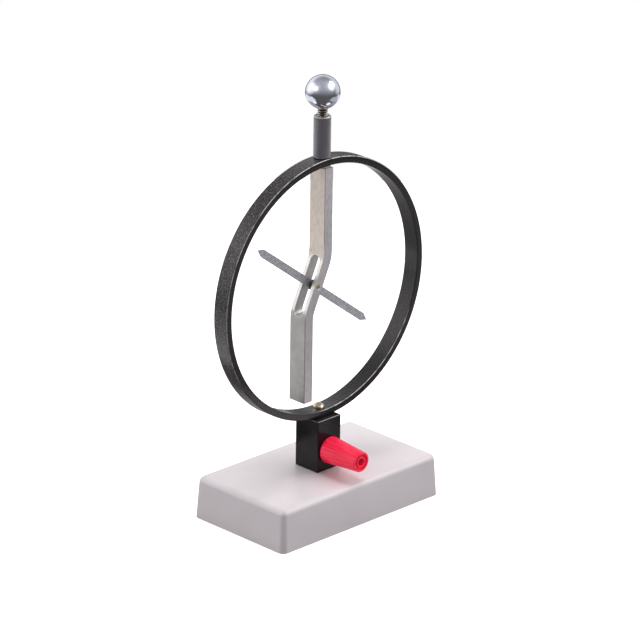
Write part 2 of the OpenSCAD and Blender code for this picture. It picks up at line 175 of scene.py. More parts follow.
def block(name, low, high):
    """A box between two corners, as a start."""
    deselect()
    low, high = Vector(low), Vector(high)
    bpy.ops.mesh.primitive_cube_add(size=1, location=(low + high) / 2 * MM)
    piece = bpy.context.object
    piece.name = name
    piece.scale = (high - low) * MM
    return settle(piece)


def turned(name, stations, steps=64, bored=False):
    """A piece turned on the Z axis, from its (radius, height) stations. A bored one is a ring."""
    deselect()
    radius, height = stations[0]
    bpy.ops.mesh.primitive_circle_add(
        vertices=steps, radius=radius * MM, fill_type="NOTHING" if bored else "NGON",
        location=(0, 0, height * MM))
    piece = bpy.context.object
    piece.name = name
    settle(piece)
    with editing(piece):
        bpy.ops.mesh.select_all(action="SELECT")
        for wider, higher in stations[1:]:
            extrude(0, 0, higher - height)
            widen(wider / radius, wider / radius)
            radius, height = wider, higher
        close_up(FINE_WELD if bored else 0.0)
    return piece


def eased(corners, radius, steps=3):
    """Corners of a ring's outline, each rounded and the outline closed. Radius 0 stays sharp."""
    count = len(corners)
    radii = radius if isinstance(radius, list) else [radius] * count
    outline = []
    for i, corner in enumerate(corners):
        here = Vector(corner)
        if radii[i] == 0:
            outline.append(tuple(here))
            continue
        before = Vector(corners[i - 1]) - here
        after = Vector(corners[(i + 1) % count]) - here
        half = before.angle(after) / 2
        # A rounding takes at most about half of either side
        reach = min(radii[i] / math.tan(half), before.length * 0.49, after.length * 0.49)
        first = here + before.normalized() * reach
        last = here + after.normalized() * reach
        for k in range(steps + 1):
            t = k / steps
            outline.append(tuple(first * (1 - t) ** 2 + here * 2 * t * (1 - t) + last * t * t))
    return outline + [outline[0]]


def apply_step(piece, kind, **values):
    """Adds one modifier and applies it."""
    take(piece)
    step = piece.modifiers.new(kind.lower(), kind)
    for key, value in values.items():
        setattr(step, key, value)
    bpy.ops.object.modifier_apply(modifier=step.name)
    return piece


def carve(piece, cutter, operation="DIFFERENCE"):
    """Cuts a piece with another, or joins them, and drops the cutter."""
    apply_step(piece, "BOOLEAN", operation=operation, solver="EXACT", object=cutter)
    bpy.data.objects.remove(cutter)
    return piece


def drill(piece, radius, low, high, place=(0, 0, 0), turn=(0, 0, 0), steps=48):
    """Drills a round hole along the Z axis, or where place and turn put it."""
    bit = turned("drill", [(radius, low), (radius, high)], steps)
    set_at(bit, place, turn)
    return carve(piece, bit)


def set_at(piece, place=(0, 0, 0), turn=(0, 0, 0)):
    """Turns a piece about the origin and moves it."""
    piece.rotation_euler = turn
    piece.location = Vector(place) * MM
    return settle(piece)


def gather(name, *parts):
    """Joins parts into one piece."""
    take(parts[0])
    for part in parts[1:]:
        part.select_set(True)
    bpy.ops.object.join()
    parts[0].name = name
    return parts[0]


def break_edges(piece, width, segments=2, limit=40.0):
    """Takes the sharp edges off: limit is the least turn, in degrees, that counts as one."""
    return apply_step(
        piece, "BEVEL", width=width * MM, segments=segments, limit_method="ANGLE",
        angle_limit=math.radians(limit), miter_outer="MITER_ARC", use_clamp_overlap=True)


def threaded(name, crest, root, pitch, foot, top, steps=32):
    """A closed screw thread on the Z axis, with a run-out at both ends."""
    turns = round((top - foot) / pitch) - 1
    pitch = (top - foot) / (turns + 1)
    # One tooth: radius, and height as a share of the pitch
    tooth = [(root, 0.0), (crest, 0.40), (crest, 0.52), (root, 0.92), (root, 1.0)]
    deselect()
    bpy.ops.mesh.primitive_plane_add(size=MM)
    piece = bpy.context.object
    piece.name = name
    with editing(piece):
        bpy.ops.mesh.select_all(action="SELECT")
        bpy.ops.mesh.merge(type="CENTER")
        bpy.ops.transform.translate(value=(root * MM, 0, foot * MM))
        for (r0, t0), (r1, t1) in zip(tooth, tooth[1:]):
            extrude(r1 - r0, 0, (t1 - t0) * pitch)
    apply_step(
        piece, "SCREW", axis="Z", angle=2 * math.pi, screw_offset=pitch * MM, iterations=turns,
        steps=steps, render_steps=steps, use_merge_vertices=True, merge_threshold=FINE_WELD)
    run_out = pitch * 1.02
    with editing(piece):
        bpy.ops.mesh.select_all(action="SELECT")
        bpy.ops.mesh.remove_doubles(threshold=WELD)
        for low, high in ((foot - 1, foot + run_out), (top - run_out, top + 1)):
            pick("verts", lambda v: low < middle(v).z < high
                 and middle(v).xy.length > (crest + root) / 2)
            widen(root / crest, root / crest)
        # Each open end is drawn flat onto its level and filled
        for level in (foot, top):
            bpy.ops.mesh.select_mode(type="EDGE")
            pick("edges", lambda e: e.is_boundary and abs(middle(e).z - level) < pitch * 1.1)
            extrude(0, 0, 0)
            bpy.ops.transform.resize(value=(1, 1, 0), center_override=(0, 0, level * MM))
            bpy.ops.mesh.select_mode(type="VERT")
            bpy.ops.mesh.select_all(action="SELECT")
            bpy.ops.mesh.remove_doubles(threshold=WELD)
            bpy.ops.mesh.select_mode(type="EDGE")
            pick("edges", lambda e: e.is_boundary and abs(middle(e).z - level) < NEAR)
            bpy.ops.mesh.edge_face_add()
        close_up()
    return piece


def cross_screw(name, shank_r, length, head_r, head_h, pitch):
    """A pan-head screw with a cross recess: the head sits on z = 0 and the shank hangs below."""
    crown = head_h * 0.55
    ball_r = (head_r ** 2 + crown ** 2) / (2 * crown)
    rings = 8
    outline = [(head_r * 0.3, 0.0), (head_r * 0.90, 0.0), (head_r, 0.18)]
    for k in range(rings + 1):
        r = head_r * (1 - k / rings)
        outline.append((max(r, 0.2), head_h - ball_r + math.sqrt(ball_r ** 2 - r * r)))
    head = turned(name, outline, 64)
    blade, reach, deep = head_r * 0.155, head_r * 0.6, head_h * 0.42
    for quarter in (0, math.pi / 2):
        cutter = block("blade", (-reach, -blade, deep), (reach, blade, head_h + 1))
        with editing(cutter, "FACE"):
            pick("faces", lambda f: middle(f).z < deep + NEAR)
            widen(0.42, 0.62)
        set_at(cutter, turn=(0, 0, quarter))
        carve(head, cutter)
    with editing(head):
        bpy.ops.mesh.select_all(action="SELECT")
        bpy.ops.mesh.remove_doubles(threshold=4 * WELD)
        bpy.ops.mesh.dissolve_degenerate(threshold=4 * WELD)
    core_r, tip_r = shank_r * 0.80, shank_r * 0.45
    core = turned("core", [(core_r, 0.3), (core_r, 0.6 - length), (tip_r, 0.1 - length)], 32)
    spiral = threaded("spiral", shank_r, shank_r * 0.82, pitch, 0.5 - length, 0.2)
    return gather(name, head, core, spiral)


# Finishes

class Wire:
    """An output of a shader node, so that patterns and masks read as plain arithmetic."""

    def __init__(self, finish, socket):
        self.finish = finish
        self.socket = socket

    def do(self, operation, *values):
        return self.finish.node(
            "ShaderNodeMath", {"operation": operation}, dict(enumerate(values)))

    def __add__(self, other):
        return self.do("ADD", self, other)

    def __radd__(self, other):
        return self.do("ADD", other, self)

    def __sub__(self, other):
        return self.do("SUBTRACT", self, other)

    def __rsub__(self, other):
        return self.do("SUBTRACT", other, self)

    def __mul__(self, other):
        return self.do("MULTIPLY", self, other)

    def __rmul__(self, other):
        return self.do("MULTIPLY", other, self)

    def __truediv__(self, other):
        return self.do("DIVIDE", self, other)

    def __pow__(self, other):
        return self.do("POWER", self, other)

    def most(self, other):
        """The larger of the two."""
        return self.do("MAXIMUM", self, other)

    def size(self):
        """The value without its sign."""
        return self.do("ABSOLUTE", self)

    def wave(self):
        return self.do("SINE", self)

    def ramp(self, low, high):
        """0 below low and 1 above high, or the other way round if low is above high."""
        risen = self.finish.node(
            "ShaderNodeMapRange", {"interpolation_type": "SMOOTHSTEP"},
            {0: self, 1: min(low, high), 2: max(low, high)})
        return risen if low < high else 1 - risen


class Finish:
    """A procedural material, or any other node tree, as it is put together."""

    def __init__(self, name, tree=None):
        if tree is None:
            self.material = bpy.data.materials.new(name)
            self.material.use_nodes = True
            tree = self.material.node_tree
        self.tree = tree
        self.tree.nodes.clear()

    def node(self, kind, settings=None, inputs=None, output=0):
        """One node: its type, its settings, the values or wires of its sockets, and its output."""
        made = self.tree.nodes.new(kind)
        for key, value in (settings or {}).items():
            setattr(made, key, value)
        for key, value in (inputs or {}).items():
            if isinstance(value, Wire):
                self.tree.links.new(value.socket, made.inputs[key])
            elif made.inputs[key].type == "RGBA":
                made.inputs[key].default_value = (*value, 1)
            else:
                made.inputs[key].default_value = value
        return Wire(self, made.outputs[output])

    def place(self, scale=(1, 1, 1), turn=(0, 0, 0)):
        """Where a point of the piece is, in metres, turned and scaled for a pattern."""
        here = self.node("ShaderNodeTexCoord", output="Object")
        return self.node("ShaderNodeMapping", inputs={
            "Vector": here, "Rotation": turn, "Scale": scale})

    def axes(self, vector):
        """The three parts of a vector."""
        first = self.node("ShaderNodeSeparateXYZ", inputs={0: vector})
        return [Wire(self, output) for output in first.socket.node.outputs]

    def noise(self, vector, scale, detail=2.0, rough=0.5):
        return self.node("ShaderNodeTexNoise", inputs={
            "Vector": vector, "Scale": scale, "Detail": detail, "Roughness": rough})

    def cells(self, vector, scale):
        """Soft-edged cells."""
        return self.node("ShaderNodeTexVoronoi", {"feature": "SMOOTH_F1"}, {
            "Vector": vector, "Scale": scale})

    def blend(self, share, first, second):
        """One colour run into another."""
        return self.node("ShaderNodeMix", {"data_type": "RGBA"}, {0: share, 6: first, 7: second}, 2)

    def facing(self, way, towards):
        """How nearly a direction points one way: 1 if it does."""
        return self.node(
            "ShaderNodeVectorMath", {"operation": "DOT_PRODUCT"}, {0: way, 1: towards}, "Value")

    def bump(self, height, deep, strength):
        """Relief that many millimetres deep."""
        return self.node("ShaderNodeBump", inputs={
            "Height": height, "Distance": deep * MM, "Strength": strength})

    def shade(self, **inputs):
        """The surface shader itself, from plain values and wires."""
        named = {key.replace("_", " "): value for key, value in inputs.items()}
        self.end_with(self.node("ShaderNodeBsdfPrincipled", inputs=named))
        return self.material

    def end_with(self, surface, kind="ShaderNodeOutputMaterial"):
        """Leads the last node to the tree's output."""
        made = self.tree.nodes.new(kind)
        self.tree.links.new(surface.socket, made.inputs["Surface"])


def moulded_grey():
    """Fine matt moulding in a warmish light grey; its upright corners are darkened as painted
    shade.
    """
    f = Finish("moulded_grey")
    here = f.place()
    x, y, _ = f.axes(here)
    cloud = f.noise(here, 35, 3)
    grain = f.noise(here, 2600, 2)
    scuff = f.noise(f.place((40, 40, 400), (0, 0, 0.4)), 3, 4, 0.6).ramp(0.62, 0.8)
    # Painted shade: the upright corners made darker
    corner = x.size().ramp(56.6 * MM, 59.0 * MM) * y.size().ramp(31.4 * MM, 33.8 * MM)
    colour = f.blend(cloud.ramp(0.3, 0.7), (0.664, 0.611, 0.637), (0.697, 0.645, 0.670))
    colour = f.blend(scuff * 0.25, colour, (0.72, 0.70, 0.71))
    colour = f.blend(corner * 0.8, colour, (0.53, 0.48, 0.505))
    return f.shade(
        Base_Color=colour, Roughness=0.24 + 0.08 * cloud + 0.05 * grain, IOR=1.5,
        Normal=f.bump(grain, 0.03, 0.5))


def black_coat():
    """Satin black coat with a fine powder grain; its top edges made lighter and metallic, part wear
    and part painted highlight.
    """
    f = Finish("black_coat")
    here = f.place()
    x, y, z = f.axes(here)
    grain = f.noise(here, 1500, 3, 0.6)
    cloud = f.noise(here, 60, 2)
    # Painted highlight, part wear: the pillar's top edges lighter and metallic
    top = z.ramp((PILLAR_TOP - 0.50) * MM, (PILLAR_TOP - 0.25) * MM)
    half = PILLAR_W / 2
    rim = x.size().most(y.size()).ramp((half - 0.45) * MM, (half - 0.15) * MM)
    wear_and_highlight = top * rim * (0.3 + 0.7 * cloud.ramp(0.4, 0.6)) * 0.8
    colour = f.blend(cloud.ramp(0.35, 0.7), (0.008, 0.0065, 0.007), (0.015, 0.013, 0.0135))
    colour = f.blend(wear_and_highlight, colour, (0.30, 0.29, 0.30))
    return f.shade(
        Base_Color=colour, Roughness=0.15 + 0.08 * cloud, Metallic=wear_and_highlight, IOR=1.28,
        Normal=f.bump(grain, 0.03, 0.4))


def hammered_black():
    """Hammered black coat: shallow dimples, lighter flecks that also lift the outer face as painted
    light, and bright metal edges, part wear and part painted highlight.
    """
    f = Finish("hammered_black")
    here = f.place()
    x, y, z = f.axes(here)
    height = z - HOOP_Z * MM
    out = (x * x + height * height) ** 0.5 - (HOOP_R - HOOP_T / 2) * MM
    side = y.size()
    warp = f.noise(here, 700, 2)
    dimple = f.cells(here, 950)
    # Bright edges, part wear and part painted highlight: the outer ones brightest at the upper
    # left, and the inner ones at the lower right, where highlights fall
    lean = (height - x) / (HOOP_R * MM)
    outer = out.ramp(1.50 * MM, 1.80 * MM) * (0.04 + 0.96 * lean.ramp(0.15, 0.60))
    inner = out.ramp(-1.50 * MM, -1.80 * MM) * (
        0.04 + 0.96 * height.ramp(-26 * MM, -36 * MM) * x.ramp(-12 * MM, 10 * MM))
    patchy = f.noise(here, 260, 4, 0.65).ramp(0.38, 0.56)
    edge_wear_and_highlight = (outer + inner) * side.ramp(4.60 * MM, 4.90 * MM) * (0.30 + 0.60 * patchy)
    # Lighter flecks kept to the outer face: part hammered texture, part painted light on that face
    fleck = f.noise(here, 1200, 3, 0.7).ramp(0.50, 0.62)
    fleck = fleck * side.ramp(4.70 * MM, 4.30 * MM) * out.ramp(-3.0 * MM, 1.5 * MM)
    colour = f.blend(fleck, (0.005, 0.0045, 0.0052), (0.122, 0.109, 0.115))
    colour = f.blend(edge_wear_and_highlight, colour, (0.74, 0.68, 0.67))
    return f.shade(
        Base_Color=colour, Roughness=0.24 + 0.12 * warp, Metallic=(edge_wear_and_highlight * 0.4).most(fleck * 0.5),
        IOR=1.36, Specular_Tint=(1.0, 0.91, 0.94), Coat_Weight=0.45, Coat_Roughness=0.10,
        Normal=f.bump(dimple + 0.35 * warp, 0.28, 0.7))


def polished_chrome():
    """Polished plate with hair scratches and faint smears."""
    f = Finish("polished_chrome")
    smear = f.noise(f.place(), 160, 4, 0.6)
    hair = f.noise(f.place((1500, 1500, 9000), (0.5, 0.9, 0.2)), 1.0, 2)
    return f.shade(
        Base_Color=f.blend(smear, (0.66, 0.685, 0.79), (0.755, 0.78, 0.88)), Metallic=1.0,
        Roughness=0.10 + 0.10 * smear.ramp(0.4, 0.7), Normal=f.bump(hair, 0.004, 0.25))


def satin_insulator():
    """Dark grey satin sleeve: fine turning rings; its chamfers made bright, part wear and part
    painted highlight, and a painted glint on one side of its foot.
    """
    f = Finish("satin_insulator")
    here = f.place()
    x, y, z = f.axes(here)
    rings = (z * 21000 + f.noise(here, 300, 2) * 3).wave()
    cloud = f.noise(f.place((1, 1, 0.12)), 900, 3)
    centre = (HOOP_CROWN + SLEEVE_TOP) / 2 * MM
    half = (SLEEVE_TOP - HOOP_CROWN) / 2
    ends = (z - centre).size().ramp((half - 0.62) * MM, (half - 0.40) * MM)
    chamfers = ends * ((x * x + y * y) ** 0.5).ramp(4.00 * MM, 4.25 * MM)
    # Painted glint: the lower chamfer made bright on one side only
    foot = z.ramp((HOOP_CROWN + 1.15) * MM, (HOOP_CROWN + 0.85) * MM)
    foot = foot * (y - x).ramp(1.0 * MM, 4.5 * MM)
    wear_and_highlight = chamfers.most(foot) * f.noise(here, 500, 3).ramp(0.25, 0.5)
    colour = f.blend(cloud, (0.200, 0.190, 0.218), (0.275, 0.260, 0.298))
    colour = f.blend(wear_and_highlight * 0.85, colour, (0.55, 0.53, 0.55))
    return f.shade(
        Base_Color=colour, Roughness=0.30 + 0.10 * cloud, Metallic=0.45, IOR=1.6,
        Coat_Weight=0.6, Coat_Roughness=0.2, Normal=f.bump(rings, 0.006, 0.5))


def drawn_aluminium():
    """Drawn bar: matt, faint draw lines along it, the slot's wall lighter, and painted light and
    shade on its parts and round its slot.
    """
    f = Finish("drawn_aluminium")
    here = f.place()
    x, y, z = f.axes(here)
    draw = f.noise(f.place((1, 1, 0.03)), 2600, 3, 0.6)
    cloud = f.noise(here, 110, 4, 0.6)
    mottle = f.noise(f.place((1, 1, 0.5)), 520, 4, 0.7)
    pits = f.noise(here, 1900, 2).ramp(0.62, 0.74)

    # The slot: its wall, made lighter, and a machined line round its mouth, brightened as a painted
    # highlight
    rise = z - PIVOT.z * MM
    beyond = (rise.size() - (SLOT_LENGTH - SLOT_W) / 2 * MM).most(0)
    from_slot = (y * y + beyond * beyond) ** 0.5
    wall = from_slot.ramp(3.49 * MM, 3.46 * MM)
    machined_rim_and_highlight = from_slot.ramp(3.90 * MM, 3.62 * MM) * from_slot.ramp(3.46 * MM, 3.50 * MM)

    # Painted light on the bar's parts: its upper length lighter, that length's left face lighter
    # and warmer, painted sheen on its flanks, stronger higher up, and painted highlights on the
    # slanted rails
    above = z.ramp((PIVOT.z - 14) * MM, (PIVOT.z + 14) * MM)
    painted_warm_light = z.ramp(PIVOT.z * MM, (PIVOT.z + 22) * MM) * x.ramp(-2.2 * MM, -2.8 * MM)
    painted_flank_sheen = y.size().ramp(5.60 * MM, 5.72 * MM) * (0.50 + 0.45 * z.ramp(0.160, 0.196))
    slant = rise * math.sin(BEND) - (x - PIVOT.x * MM) * math.cos(BEND)
    painted_rail_highlight = slant.ramp(2.6 * MM, 2.9 * MM) * rise.size().ramp(17.8 * MM, 12.0 * MM)

    # The corner between its left and near faces, on the upper and the lower length, darkened as
    # painted shade
    upper = z.ramp((PIVOT.z + 20) * MM, (PIVOT.z + 26) * MM)
    lower = x + BAR_STEP * MM
    corner = (x.ramp(-2.6 * MM, -2.9 * MM) * upper).most(
        lower.ramp(-2.6 * MM, -2.9 * MM) * (1 - upper))
    corner = corner * y.ramp(-5.35 * MM, -5.65 * MM)

    colour = f.blend(cloud.ramp(0.35, 0.7), (0.42, 0.412, 0.402), (0.49, 0.48, 0.47))
    coats = (
        (above, (0.61, 0.605, 0.62)), (painted_warm_light * 0.9, (0.80, 0.71, 0.615)),
        (painted_flank_sheen, (0.96, 0.92, 0.965)), (corner * 0.8, (0.12, 0.115, 0.115)),
        (painted_rail_highlight * 0.75, (0.86, 0.845, 0.83)), (wall * 0.5, (0.80, 0.77, 0.79)),
        (mottle.ramp(0.42, 0.66) * 0.24, (0.34, 0.325, 0.325)),
        (draw.ramp(0.42, 0.60) * 0.16, (0.38, 0.365, 0.365)),
        (pits * 0.5, (0.25, 0.235, 0.23)), (machined_rim_and_highlight * 0.85, (0.82, 0.80, 0.78)))
    for share, tint in coats:
        colour = f.blend(share, colour, tint)
    return f.shade(
        Base_Color=colour, Metallic=0.95, Roughness=0.40 + 0.12 * mottle - 0.12 * machined_rim_and_highlight,
        Normal=f.bump(draw + 0.6 * mottle + 0.5 * pits, 0.04, 0.5))


def strip_aluminium():
    """Needle strip: matt blue-grey metal, lightly speckled."""
    f = Finish("strip_aluminium")
    draw = f.noise(f.place((1, 1, 0.05), (0, NEEDLE_LEAN, 0)), 3000, 2)
    speckle = f.noise(f.place(), 1050, 3, 0.75)
    colour = f.blend(speckle.ramp(0.40, 0.60), (0.47, 0.47, 0.52), (0.73, 0.73, 0.78))
    return f.shade(
        Base_Color=colour, Metallic=0.85, Roughness=0.44 + 0.08 * speckle,
        Normal=f.bump(draw + speckle, 0.04, 0.5))


def turned_brass(name, light, dark, rough):
    """Turned brass, with tarnish in its recesses and fine tool marks."""
    f = Finish(name)
    here = f.place()
    tarnish = f.noise(here, 380, 4, 0.6)
    marks = f.noise(here, 4200, 2)
    return f.shade(
        Base_Color=f.blend(tarnish.ramp(0.35, 0.75), light, dark), Metallic=1.0,
        Roughness=rough + 0.12 * tarnish, Normal=f.bump(marks, 0.012, 0.5))


def thread_metal():
    """Stud thread: crests painted near white as highlights, over dark brown roots that are part
    tarnish and part painted shade.
    """
    f = Finish("thread_metal")
    here = f.place()
    x, y, _ = f.axes(here)
    # Painted highlight on the crests; painted shade, with tarnish, in the roots
    crest = ((x * x + y * y) ** 0.5).ramp((STUD_R - 0.55) * MM, (STUD_R - 0.05) * MM)
    spots = f.noise(here, 900, 3, 0.6).ramp(0.30, 0.60)
    colour = f.blend(spots, (0.05, 0.032, 0.028), (0.12, 0.08, 0.06))
    colour = f.blend(crest * (0.4 + 0.6 * spots), colour, (0.86, 0.80, 0.74))
    return f.shade(
        Base_Color=colour, Metallic=1.0, Roughness=0.22 + 0.15 * spots,
        Normal=f.bump(f.noise(here, 3000, 2), 0.01, 0.5))


def plated_steel(name, light, dark, rough):
    """Plated or ground steel with fine grain."""
    f = Finish(name)
    here = f.place()
    cloud = f.noise(here, 260, 3, 0.6)
    grain = f.noise(here, 5200, 2)
    return f.shade(
        Base_Color=f.blend(cloud, light, dark), Metallic=1.0, Roughness=rough + 0.10 * cloud,
        Normal=f.bump(grain, 0.01, 0.4))


def red_moulding():
    """Glossy red moulding with slight flow marks along the cap, and a faint red emission: painted
    light that brightens its shaded side.
    """
    f = Finish("red_moulding")
    flow = f.noise(f.place((1, 0.08, 1)), 800, 3, 0.6)
    fine = f.noise(f.place(), 2400, 2)
    return f.shade(
        Base_Color=f.blend(flow.ramp(0.4, 0.65), (0.80, 0.009, 0.048), (0.86, 0.032, 0.090)),
        Roughness=0.16 + 0.10 * flow, IOR=1.38, Coat_Weight=0.20, Coat_Roughness=0.10,
        # Painted light: the cap glows faintly red, though it is no lamp
        Emission_Color=(0.85, 0.006, 0.05), Emission_Strength=0.20,
        Normal=f.bump(flow + 0.2 * fine, 0.04, 0.5))


# Pieces

def base_moulding():
    """Open shell with drafted sides and rounded edges, crossed ribs and a screw boss inside."""
    half = Vector((BASE_LENGTH / 2, BASE_DEPTH / 2, 0))
    shell = block("base_moulding", (-half.x, -half.y, 0), (half.x, half.y, BASE_HEIGHT))
    lean = BASE_HEIGHT * math.tan(BASE_DRAFT)
    bevel = BASE_EDGE * math.tan(math.pi / 4 - BASE_DRAFT / 2)
    inner = CAVITY_TOP * math.tan(BASE_DRAFT)
    sill, ease = 0.4, 0.8
    with editing(shell, "FACE"):
        pick("faces", lambda f: f.normal.z > 0.9)
        widen(1 - lean / half.x, 1 - lean / half.y)
        bpy.ops.mesh.select_mode(type="EDGE")
        pick("edges", lambda e: abs(e.verts[0].co.z - e.verts[1].co.z) > 20 * MM)
        bpy.ops.mesh.bevel(offset=BASE_CORNER * MM, segments=10, affect="EDGES")
        pick("edges", lambda e: all(v.co.z > (BASE_HEIGHT - NEAR) * MM for v in e.verts))
        bpy.ops.mesh.bevel(offset=bevel * MM, segments=10, affect="EDGES", clamp_overlap=False)
        bpy.ops.mesh.select_mode(type="FACE")
        pick("faces", lambda f: f.normal.z < -0.9)
        bpy.ops.mesh.inset(thickness=sill * MM)
        bpy.ops.mesh.inset(thickness=(BASE_WALL - sill) * MM)
        extrude(0, 0, CAVITY_TOP - ease)
        widen(1 - inner / (half.x - BASE_WALL), 1 - inner / (half.y - BASE_WALL))
        extrude(0, 0, ease)
        widen(1 - ease / half.x, 1 - ease / half.y)
    rib_x, rib_y = half.x - BASE_WALL - 1.0, half.y - BASE_WALL - 1.0
    foot, end = CAVITY_TOP - RIB_DEPTH, CAVITY_TOP + 0.6
    for x, y in ((rib_x, RIB_T / 2), (RIB_T / 2, rib_y)):
        carve(shell, block("rib", (-x, -y, foot), (x, y, end)), "UNION")
    tower = [(BOSS_R - sill, BOSS_FOOT), (BOSS_R, BOSS_FOOT + sill), (BOSS_R, end)]
    carve(shell, turned("boss", tower, 96), "UNION")
    return drill(shell, BASE_HOLE_R, BOSS_FOOT - 1, BASE_HEIGHT + 1)


def pillar():
    """Square pillar with tapped holes below, above and in front."""
    half = PILLAR_W / 2
    post = block("pillar", (-half, -half, BASE_HEIGHT), (half, half, PILLAR_TOP))
    break_edges(post, 0.45, 3)
    drill(post, BASE_SCREW_R + CLEAR, BASE_HEIGHT - 1, BASE_HEIGHT + 8.3)
    drill(post, HOOP_SCREW_R + CLEAR, PILLAR_TOP - 10.3, PILLAR_TOP + 1)
    return drill(post, POST_TAIL_R + CLEAR, -9.8, 1.0, TERMINAL, (math.pi / 2, 0, 0))


def hoop_strip():
    """Flat strip with rounded edges, bent to a full hoop, with a hole at its foot and its crown."""
    deselect()
    mid = HOOP_R - HOOP_T / 2
    bpy.ops.mesh.primitive_plane_add(size=1, location=(mid * MM, 0, 0))
    strip = bpy.context.object
    strip.name = "hoop_strip"
    strip.scale = (HOOP_T * MM, HOOP_W * MM, 1)
    settle(strip)
    with editing(strip):
        bpy.ops.mesh.select_all(action="SELECT")
        bpy.ops.mesh.bevel(offset=0.62 * MM, segments=4, affect="VERTICES")
        bpy.ops.mesh.select_all(action="SELECT")
        bpy.ops.mesh.delete(type="ONLY_FACE")
        bpy.ops.mesh.select_all(action="SELECT")
        bpy.ops.mesh.spin(steps=360, angle=2 * math.pi, center=(0, 0, 0), axis=(0, 1, 0))
        close_up(WELD)
    set_at(strip, (0, 0, HOOP_Z))
    drill(strip, HOOP_FOOT_HOLE_R, PILLAR_TOP - 1, PILLAR_TOP + HOOP_T + 1)
    return drill(strip, HOOP_CROWN_HOLE_R, HOOP_CROWN - HOOP_T - 1, HOOP_CROWN + 1)


def sleeve():
    """Insulating sleeve with a chamfer at every rim but the bore's lower one."""
    bore, ease = STUD_R + CLEAR, 0.5
    corners = [
        (bore, HOOP_CROWN), (SLEEVE_R - ease, HOOP_CROWN), (SLEEVE_R, HOOP_CROWN + ease),
        (SLEEVE_R, SLEEVE_TOP - ease), (SLEEVE_R - ease, SLEEVE_TOP), (bore + ease, SLEEVE_TOP),
        (bore, SLEEVE_TOP - ease)]
    return turned("sleeve", eased(corners, 0.12, 2), 96, bored=True)


def bush():
    """Flanged bush: its flange lies between bar and hoop, its neck fills the hoop's hole."""
    bore, neck_r, neck_top = STUD_R + CLEAR, 3.7, HOOP_CROWN - 0.2
    flange_r, flange_top = 4.75, BAR_TOP + 0.9
    corners = [
        (bore, BAR_TOP), (flange_r, BAR_TOP), (flange_r, flange_top), (neck_r, flange_top),
        (neck_r, neck_top), (bore, neck_top)]
    return turned("bush", eased(corners, [0, 0.15, 0.15, 0, 0.15, 0]), 64, bored=True)


def stud():
    """Threaded stud from the bar into the ball, with a thinner threaded end in the bar."""
    top, foot = BALL_FLAT_Z + 9.0, BAR_TOP - STUD_TAIL
    core = turned("core", [
        (1.2, foot), (1.62, foot + 0.4), (1.62, BAR_TOP + 0.1), (2.20, BAR_TOP + 0.2),
        (2.20, top - 0.6), (1.9, top)], 48)
    shank = threaded("shank", STUD_R, 2.22, 1.3, BAR_TOP + 0.1, top - 0.1, 40)
    tail = threaded("tail", STUD_TAIL_R, 1.64, 0.7, foot + 0.1, BAR_TOP - 0.1, 32)
    return gather("stud", core, shank, tail)


def ball():
    """Ball with a flat below, drilled for the stud."""
    deselect()
    bpy.ops.mesh.primitive_uv_sphere_add(
        segments=160, ring_count=96, radius=BALL_R * MM, location=(0, 0, BALL_Z * MM))
    knob = bpy.context.object
    knob.name = "ball"
    settle(knob)
    carve(knob, block("flat", (-11, -11, BALL_Z - 11), (11, 11, BALL_FLAT_Z)))
    return drill(knob, STUD_R + CLEAR, BALL_FLAT_Z - 1, BALL_FLAT_Z + 9.3)


def bar():
    """Slotted dog-leg bar: drawn down from its top through both bends, then slotted and drilled."""
    half_t, half_w = BAR_T / 2, BAR_W / 2
    bend_top = PIVOT.z + BEND_RISE / 2 + BEND_REACH
    bend_foot = PIVOT.z - BEND_RISE / 2 - BEND_REACH
    slope = math.hypot(BAR_STEP, BEND_RISE) - 2 * BEND_REACH
    level = bend_top + 0.9
    body = block("bar", (-half_t, -half_w, level), (half_t, half_w, BAR_TOP))
    with editing(body, "FACE"):
        # A faint crease above the upper bend, below which the left face stands out a hair
        for drop, step_out in ((0.35, 0), (0.25, 0.11), (0.30, 0)):
            pick("faces", lambda f: f.normal.z < -0.5 and middle(f).z < level + NEAR)
            extrude(0, 0, -drop)
            level -= drop
            if step_out:
                bpy.ops.mesh.select_mode(type="VERT")
                pick("verts", lambda v: v.co.x < 0 and abs(middle(v).z - level) < NEAR)
                bpy.ops.transform.translate(value=(-step_out * MM, 0, 0))
                bpy.ops.mesh.select_mode(type="FACE")
        pick("faces", lambda f: f.normal.z < -0.5 and middle(f).z < bend_top + NEAR)
        bpy.ops.mesh.spin(
            steps=12, angle=-BEND, center=(-BEND_R * MM, 0, bend_top * MM), axis=(0, 1, 0))
        extrude(-math.sin(BEND) * slope, 0, -math.cos(BEND) * slope)
        bpy.ops.mesh.spin(
            steps=12, angle=BEND, center=((BEND_R - BAR_STEP) * MM, 0, bend_foot * MM),
            axis=(0, 1, 0))
        extrude(0, 0, BAR_FOOT - bend_foot)
        close_up(WELD)
    reach = Vector((20, SLOT_W / 2, SLOT_LENGTH / 2))
    slot = block("slot", PIVOT - reach, PIVOT + reach)
    with editing(slot, "EDGE"):
        pick("edges", lambda e: abs(e.verts[0].co.x - e.verts[1].co.x) > 30 * MM)
        bpy.ops.mesh.bevel(offset=(SLOT_W / 2 - 0.002) * MM, segments=14, affect="EDGES")
    carve(body, slot)
    drill(body, PIVOT_HOLE_R, -7, 7, PIVOT, (math.pi / 2, 0, 0), 40)
    for side in (-1, 1):
        sink = turned("sink", [(PIVOT_HOLE_R, -0.3), (1.45, 0.0), (1.9, 0.45)], 40)
        set_at(sink, PIVOT + Vector((0, side * half_w, 0)), (-side * math.pi / 2, 0, 0))
        carve(body, sink)
    drill(body, STUD_TAIL_R + CLEAR, BAR_TOP - STUD_TAIL - 0.3, BAR_TOP + 1)
    return break_edges(body, 0.22, 3, 32)


